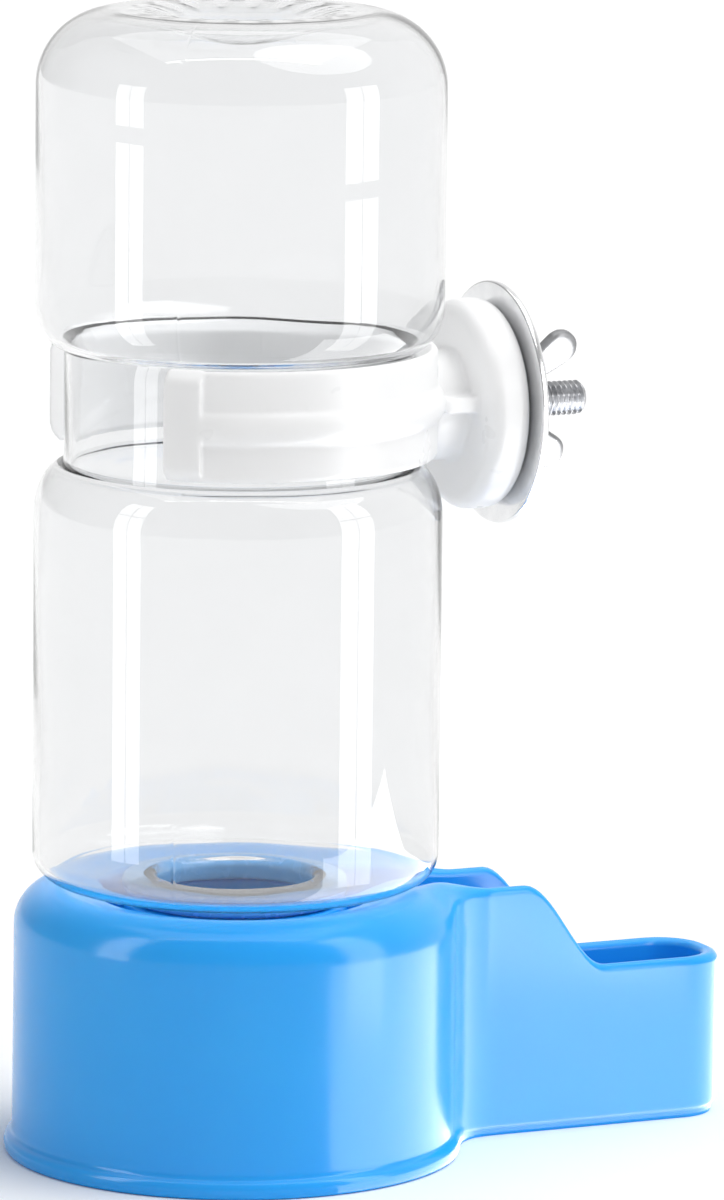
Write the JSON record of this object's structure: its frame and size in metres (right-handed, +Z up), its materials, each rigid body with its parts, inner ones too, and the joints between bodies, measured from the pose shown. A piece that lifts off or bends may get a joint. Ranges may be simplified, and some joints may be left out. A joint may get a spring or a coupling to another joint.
{
  "type": "rabbit water bottle",
  "caption": "Gravity drinker: an upturned clear bottle screws into a round base with a side drinking cup, and a C-clip with a bolt, washer and wing nut holds it to cage wires.",
  "frame": {"origin": "on the floor under the middle of the whole object's box", "axes": "+Z up along the bottle, +X from the bottle towards the drinking cup and the clamp, +Y to the left when looking along +X"},
  "size_m": [0.1312, 0.0794, 0.1976],
  "materials": {
    "base_plastic": "glossy moulded polypropylene, slightly translucent blue",
    "seal_silicone": "soft translucent silicone",
    "bottle_clear": "clear blown PET",
    "clip_plastic": "white moulded plastic, soft gloss",
    "bolt_steel": "bright zinc plated thread",
    "washer_steel": "bright stamped steel",
    "nut_steel": "bright zinc plated casting"
  },
  "bodies": {
    "drinking_base": {"base": "base_plastic", "bottle_socket": "base_plastic"},
    "seal_ring": {"neck_seal": "seal_silicone"},
    "water_bottle": {"bottle": "bottle_clear"},
    "cage_clip": {"clip": "clip_plastic", "bolt": "bolt_steel"},
    "clamp_washer": {"washer": "washer_steel"},
    "clamp_nut": {"wing_nut": "nut_steel"}
  },
  "joints": [
    {"name": "bottle_rise", "type": "slide", "parent": "drinking_base", "child": "seal_ring", "axis": [0, 0, 1], "range_m": [0, 0.00562]},
    {"name": "bottle_turn", "type": "hinge", "parent": "seal_ring", "child": "water_bottle", "pos_m": [-0.0259, 0, 0.047], "axis": [0, 0, 1], "range_deg": [0, 450]},
    {"name": "clip_swivel", "type": "hinge", "parent": "water_bottle", "child": "cage_clip", "pos_m": [-0.0259, 0, 0.131], "axis": [0, 0, 1], "continuous": true},
    {"name": "washer_slide", "type": "slide", "parent": "cage_clip", "child": "clamp_washer", "axis": [1, 0, 0], "range_m": [0, 0.0075]},
    {"name": "wing_nut_spin", "type": "hinge", "parent": "clamp_washer", "child": "clamp_nut", "pos_m": [0.0269, 0, 0.128], "axis": [1, 0, 0], "range_deg": [0, 2520]}
  ],
  "couplings": [
    {"joint": "bottle_rise", "follows": "bottle_turn", "m_per_rad": 0.0007162},
    {"joint": "washer_slide", "follows": "wing_nut_spin", "m_per_rad": 0.00015915}
  ]
}
